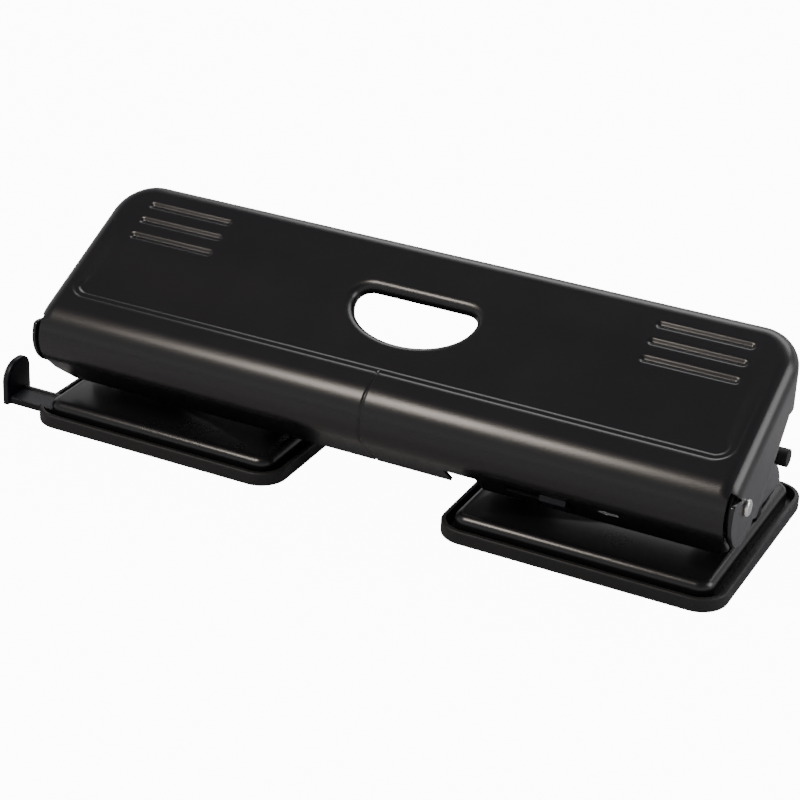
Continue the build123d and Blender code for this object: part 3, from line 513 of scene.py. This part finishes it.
half_columns = steps((0, 1.0, 0.2), (1.0, NOTCH_X[0], 2.4), (NOTCH_X[0], HAND_BLOCK_X, 1.35),
                     (HAND_BLOCK_X, NOTCH_X[1], 2.25), (NOTCH_X[1], SLOT_X[0], 2.4),
                     (SLOT_X[0], SLOT_X[1], 2.4), (SLOT_X[1], 80.0, 1.9), (80.0, 84.4, 0.31),
                     (84.4, 111.6, 2.5), (111.6, panel_side, 0.34))
columns = np.concatenate([-half_columns[:0:-1], half_columns])
corner_rows = corner_s + (CORNER_R - EDGE_R) * np.sin(np.radians(np.arange(62, 90, 4))) / tilt_cos
panel_rows = steps((0, 5.6, 0.8), (5.6, 9.6, 0.25), (9.6, 12.0, 0.6), (12.0, 20.0, 0.9),
                   (20.0, 35.6, 2.2), (35.6, 39.4, 0.3), (39.4, 43.1, 1.2), (43.1, 46.9, 0.3),
                   (46.9, 48.0, 0.55), (48.0, 50.6, 0.9), (50.6, 54.4, 0.3),
                   (54.4, corner_rows[0], 0.5))
panel_rows = np.concatenate([panel_rows, corner_rows[1:], [panel_top]])
lever_points, lever_quads = [], []

# the panel, with a block left out round the hand opening
half_width = HALF_L - CORNER_R + (CORNER_R - EDGE_R) * np.cos(corner_turn(panel_rows))
grid_x = np.outer(half_width / panel_side, columns)
grid_s = np.repeat(panel_rows[:, None], len(columns), axis=1)
panel = panel_place(grid_x, grid_s, panel_relief(grid_x, grid_s))
first_row, last_row = (int(np.argmin(np.abs(panel_rows - s))) for s in HAND_BLOCK_S)
first_column = int(np.argmin(np.abs(columns + HAND_BLOCK_X)))
last_column = int(np.argmin(np.abs(columns - HAND_BLOCK_X)))
add_grid(lever_points, lever_quads, panel,
         lambda i, j: not (first_row <= i < last_row and first_column <= j < last_column))

# rings from that block to the D-shaped opening, whose edge rolls down into the panel
front_rise = HAND_HIGH - HAND_CORNER - HAND_LOW
front = [(-HAND_HALF * math.cos(a), HAND_LOW + front_rise * (1 - math.sin(a)))
         for a in np.linspace(0, math.pi, 200)]
corner = [(HAND_HALF - HAND_CORNER * (1 - math.cos(a)), HAND_HIGH - HAND_CORNER * (1 - math.sin(a)))
          for a in np.linspace(0, math.pi / 2, 40)]
top = [(x, HAND_HIGH) for x in np.linspace(HAND_HALF - HAND_CORNER, HAND_CORNER - HAND_HALF, 110)]
outline = np.array(front + corner + top + [(-x, s) for x, s in corner[::-1]])
for _ in range(60):
    outline = (np.roll(outline, 1, axis=0) + 2 * outline + np.roll(outline, -1, axis=0)) / 4
edge_run = np.roll(outline, -1, axis=0) - np.roll(outline, 1, axis=0)
edge_out = np.stack([edge_run[:, 1], -edge_run[:, 0]], axis=1)
edge_out /= np.linalg.norm(edge_out, axis=1)[:, None]
bearing = np.unwrap(np.arctan2(outline[:, 1] - HAND_CENTRE, outline[:, 0]))
block = ([(first_row, j) for j in range(first_column, last_column)]
         + [(i, last_column) for i in range(first_row, last_row)]
         + [(last_row, j) for j in range(last_column, first_column, -1)]
         + [(i, first_column) for i in range(last_row, first_row, -1)])
block_xs = np.array([(grid_x[i, j], grid_s[i, j]) for i, j in block + block[:1]])
aim = np.arctan2(block_xs[:, 1] - HAND_CENTRE, block_xs[:, 0])
hand_edge = np.stack([np.interp(aim, bearing, outline[:, k], period=2 * math.pi) for k in (0, 1)], axis=1)
hand_out = np.stack([np.interp(aim, bearing, edge_out[:, k], period=2 * math.pi) for k in (0, 1)], axis=1)
rings = []
for share in np.linspace(1, 0, 7):
    ring = hand_edge + hand_out * HAND_ROLL_R
    ring = ring + (block_xs - ring) * share
    rings.append((ring, 0.0))
for a in np.radians(np.arange(9, 91, 9)):
    rings.append((hand_edge + hand_out * HAND_ROLL_R * (1 - math.sin(a)), HAND_ROLL_R * (1 - math.cos(a))))
rings.append((hand_edge, HAND_ROLL_R + HAND_LIP))
add_grid(lever_points, lever_quads, np.stack(
    [panel_place(ring[:, 0], ring[:, 1], panel_relief(ring[:, 0], ring[:, 1]) - drop)
     for ring, drop in rings]))

# the bend round the panel's sides and back, then the walls below it
roll_end_turn = math.asin((ROLL_END - panel_side) / EDGE_R) / (math.pi / 2)
edge_turns = np.sort(np.append(np.linspace(0, 1, 10), roll_end_turn))


def wall_foot(y):
    """Lower edge of the side wall at depth y: skirt, slanted edge, then the pivot lobe."""
    (y1, z1), (y0, z0) = WALL_CORNERS
    if y >= y1:
        return SKIRT_LOW
    if y >= y0:
        return z0 + (y - y0) * (z1 - z0) / (y1 - y0)
    under = z0 + (y - y0) * (z0 - PIVOT_Z + LOBE_RISE) / (y0 - PIVOT_Y)
    if abs(y - PIVOT_Y) < ROLL_R:
        return min(under, PIVOT_Z - math.sqrt(ROLL_R ** 2 - (y - PIVOT_Y) ** 2))
    return under


last = len(panel_rows) - 1
slot_turns = np.linspace(SLOT_TURN, math.pi / 2 + TILT, 9)[:-1]
rim = [(roll_place(-panel_side, a, 0.0), np.array([0.0, math.cos(a), math.sin(a)]), 0.0)
       for a in slot_turns]
for i, j in ([(i, 0) for i in range(last)] + [(last, j) for j in range(len(columns) - 1)]
             + [(i, len(columns) - 1) for i in range(last, -1, -1)]):
    at_back = i == last and 0 < j < len(columns) - 1
    turn = math.pi / 2 if at_back else float(corner_turn(grid_s[i, j]))
    rim.append((panel_place(grid_x[i, j], grid_s[i, j]), panel_out, turn))
rim += [(roll_place(panel_side, a, 0.0), np.array([0.0, math.cos(a), math.sin(a)]), 0.0)
        for a in slot_turns[::-1]]
bend_grid, wall_grid = [], []
for start, sheet_out, turn in rim:
    wall_out = np.array([math.copysign(math.cos(turn), start[0]), math.sin(turn), 0.0])
    centre = start - EDGE_R * sheet_out
    opening = math.acos(float(np.clip(sheet_out @ wall_out, -1, 1)))
    arc = [centre + (math.sin((1 - t) * opening) * sheet_out + math.sin(t * opening) * wall_out)
           * EDGE_R / math.sin(opening) for t in edge_turns]
    bend_grid.append(arc)
    foot = wall_foot(arc[-1][1]) if turn == 0 else SKIRT_LOW
    wall_grid.append([arc[-1] + (np.array([arc[-1][0], arc[-1][1], foot]) - arc[-1]) * t
                      for t in np.linspace(0, 1, 7)])
add_grid(lever_points, lever_quads, np.array(bend_grid))
add_grid(lever_points, lever_quads, np.array(wall_grid))

# the pivot lobes in front of the side walls, rising from the bend to the roll's radius
for side in (-1, 1):
    lobe = []
    for a in np.linspace(math.pi, SLOT_TURN, 30):
        reach_out = ROLL_R - EDGE_R * (1 - float(ease((a - SLOT_TURN) / EAR_SPAN)))
        y = PIVOT_Y + reach_out * math.cos(a)
        head = PIVOT_Z + reach_out * math.sin(a)
        reach = math.sqrt(max(ROLL_R ** 2 - (y - PIVOT_Y) ** 2, 0))
        lobe.append([(side * HALF_L, y, head + (PIVOT_Z - reach - head) * t) for t in np.linspace(0, 1, 7)])
    add_grid(lever_points, lever_quads, np.array(lobe))

# the roll and its flat lip, with the lock's slot and the relief notch left out
roll_turns = np.concatenate([[math.pi / 2 + TILT], slot_turns[::-1],
                             np.linspace(SLOT_TURN, LIP_ANGLE, 24)[1:]])
lip_runs = steps((0, 1.6, 0.8), (1.6, 5.0, 0.85), (5.0, 7.6, 0.87), (7.6, LIP_LEN, 1.2))
bend_columns = panel_side + EDGE_R * np.sin(edge_turns * math.pi / 2)
bend_columns = bend_columns[(bend_columns > panel_side + 0.01) & (bend_columns < ROLL_END + 0.01)]
roll_columns = np.concatenate([-bend_columns[::-1], columns, bend_columns])
turns = np.concatenate([roll_turns, np.full(len(lip_runs) - 1, LIP_ANGLE)])
alongs = np.concatenate([np.zeros(len(roll_turns)), lip_runs[1:]])
end_drop = EDGE_R - np.sqrt(EDGE_R ** 2 - np.maximum(np.abs(roll_columns) - panel_side, 0) ** 2)
drop_fade = 1 - ease((turns - SLOT_TURN) / DROP_SPAN)
cut = LIP_CUT * np.clip((alongs - LIP_LEN + LIP_CUT_ALONG) / LIP_CUT_ALONG, 0, 1)
squeeze = np.clip((np.abs(roll_columns) - ROLL_END + LIP_SQUEEZE) / LIP_SQUEEZE, 0, 1)
roll_x = roll_columns[None, :] - np.sign(roll_columns)[None, :] * cut[:, None] * squeeze[None, :]
roll = roll_place(roll_x, turns[:, None], alongs[:, None],
                  -centre_mark(roll_columns)[None, :] - drop_fade[:, None] * end_drop[None, :])


def roll_keep(i, j):
    """False inside the lock's slot and the relief notch, and where the bend stands for the roll."""
    x = (roll_columns[j] + roll_columns[j + 1]) / 2
    if abs(x) > panel_side and turns[i + 1] < SLOT_TURN + 0.001:
        return False
    along = (alongs[i] + alongs[i + 1]) / 2
    in_slot = SLOT_X[0] < x < SLOT_X[1] and SLOT_ALONG[0] < along < SLOT_ALONG[1]
    return not in_slot and not (NOTCH_X[0] < x < NOTCH_X[1] and along > NOTCH_ALONG)


add_grid(lever_points, lever_quads, roll, roll_keep)


def sheet_piece(name, points, quads, thickness, edge, weld=0.004):
    """A shell of sheet metal from its outer surface in millimetres, its edges slightly broken."""
    mesh = bpy.data.meshes.new(name)
    mesh.from_pydata([tuple(c * MM for c in p) for p in points], [], quads)
    shell = bmesh.new()
    shell.from_mesh(mesh)
    bmesh.ops.remove_doubles(shell, verts=shell.verts, dist=weld * MM)
    bmesh.ops.dissolve_degenerate(shell, edges=shell.edges, dist=weld * MM)
    bmesh.ops.recalc_face_normals(shell, faces=shell.faces)
    highest = max(shell.faces, key=lambda face: face.calc_center_median().z)
    if highest.normal.z < 0:
        bmesh.ops.reverse_faces(shell, faces=shell.faces)
    shell.to_mesh(mesh)
    shell.free()
    piece = bpy.data.objects.new(name, mesh)
    bpy.context.scene.collection.objects.link(piece)
    wall = piece.modifiers.new("thickness", "SOLIDIFY")
    wall.thickness = thickness * MM
    wall.offset = -1
    wall.use_even_offset = True
    broken = piece.modifiers.new("broken_edges", "BEVEL")
    broken.width = edge * MM
    broken.segments = 2
    broken.limit_method = "ANGLE"
    broken.angle_limit = math.radians(60)
    apply_modifiers(piece)
    smooth_by_angle(piece.data, 40)
    return piece


lever_enamel = finish_material("lever_enamel", (0.0075, 0.0070, 0.0078), 0.29, 900.0, 0.000012,
                               spread=(0.2, 0.07), clouds=35.0)
lever = sheet_piece("lever", lever_points, lever_quads, SHEET, 0.2)
lever.data.materials.append(lever_enamel)
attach(lever, "lever")
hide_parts("handle")

# ------------------------------------------------------------------- press bars
# Folded steel strips under the panel; their round edges push on the pins.
for side in SIDES:
    finished_copy("press_bar_" + side, frame_enamel, edge=0.15)

# ------------------------------------------------------------------------- lock
# A moulded slide of black acetal held in the lip's slot, and a printed arrow
# beside it that shows which way it locks.
slide_plastic = finish_material("slide_plastic", (0.004, 0.0045, 0.008), 0.4, 4000.0, 0.000012,
                                spread=(0.25, 0.1), specular=0.3)
finished_copy("lock_slider", slide_plastic, edge=0.6, segments=4)
ARROW_TIP_X = 84.0
ARROW_LENGTH = 7.0
ARROW_HALF = 1.8
ARROW_HEAD = 3.0
ARROW_LINE = 0.42
ARROW_ALONG = 2.6
INK_T = 0.03
INK_FOOT = 0.005


def arrow_outline(inset):
    """Outline of the arrow, drawn inset from its edge, as (x, along) points."""
    slope = math.hypot(ARROW_HEAD, ARROW_HALF)
    tip = ARROW_TIP_X + inset * slope / ARROW_HALF
    neck = ARROW_TIP_X + ARROW_HEAD - inset
    wing = (neck - tip) * ARROW_HALF / ARROW_HEAD
    stem = ARROW_HALF * 0.5 - inset
    tail = ARROW_TIP_X + ARROW_LENGTH - inset
    return [(tip, 0), (neck, wing), (neck, stem), (tail, stem), (tail, -stem), (neck, -stem), (neck, -wing)]


ink_points, ink_quads = [], []
rims = [arrow_outline(0), arrow_outline(ARROW_LINE)]
for height in (INK_FOOT, INK_T):
    for rim_points in rims:
        ink_points.extend(tuple(roll_place(x, LIP_ANGLE, ARROW_ALONG - up, height))
                          for x, up in rim_points)
count = len(rims[0])
outer, inner, outer_top, inner_top = (k * count for k in range(4))
for k in range(count):
    n = (k + 1) % count
    ink_quads += [(outer_top + k, outer_top + n, inner_top + n, inner_top + k),
                  (outer + k, inner + k, inner + n, outer + n),
                  (outer + k, outer + n, outer_top + n, outer_top + k),
                  (inner + n, inner + k, inner_top + k, inner_top + n)]
ink_mesh = bpy.data.meshes.new("lock_arrow")
ink_mesh.from_pydata([tuple(c * MM for c in p) for p in ink_points], [], ink_quads)
ink = bmesh.new()
ink.from_mesh(ink_mesh)
bmesh.ops.recalc_face_normals(ink, faces=ink.faces)
ink.to_mesh(ink_mesh)
ink.free()
lock_arrow = bpy.data.objects.new("lock_arrow", ink_mesh)
bpy.context.scene.collection.objects.link(lock_arrow)
pad_ink = finish_material("pad_ink", (0.62, 0.62, 0.64), 0.5, 5000.0, 0.000004,
                          spread=(0.3, 0.1), clouds=900.0)
ink_mesh.materials.append(pad_ink)
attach(lock_arrow, "lever")

# ----------------------------------------------------------------- stop buffers
# Nitrile rubber buffers with a round bar on a web, pegged into the base plates,
# on which the lever's back edge lands.
buffer_rubber = finish_material("buffer_rubber", (0.016, 0.016, 0.017), 0.62, 3000.0, 0.00003,
                                spread=(0.4, 0.12), clouds=200.0, specular=0.35)
for side in SIDES:
    buffer = finished_copy("stop_buffer_" + side, buffer_rubber, edge=0.4, segments=3)

# ------------------------------------------------------------------ paper guide
# A moulded bar with an upright paddle that slides out of the left tray.
finished_copy("paper_guide", slide_plastic, edge=0.3, segments=3)
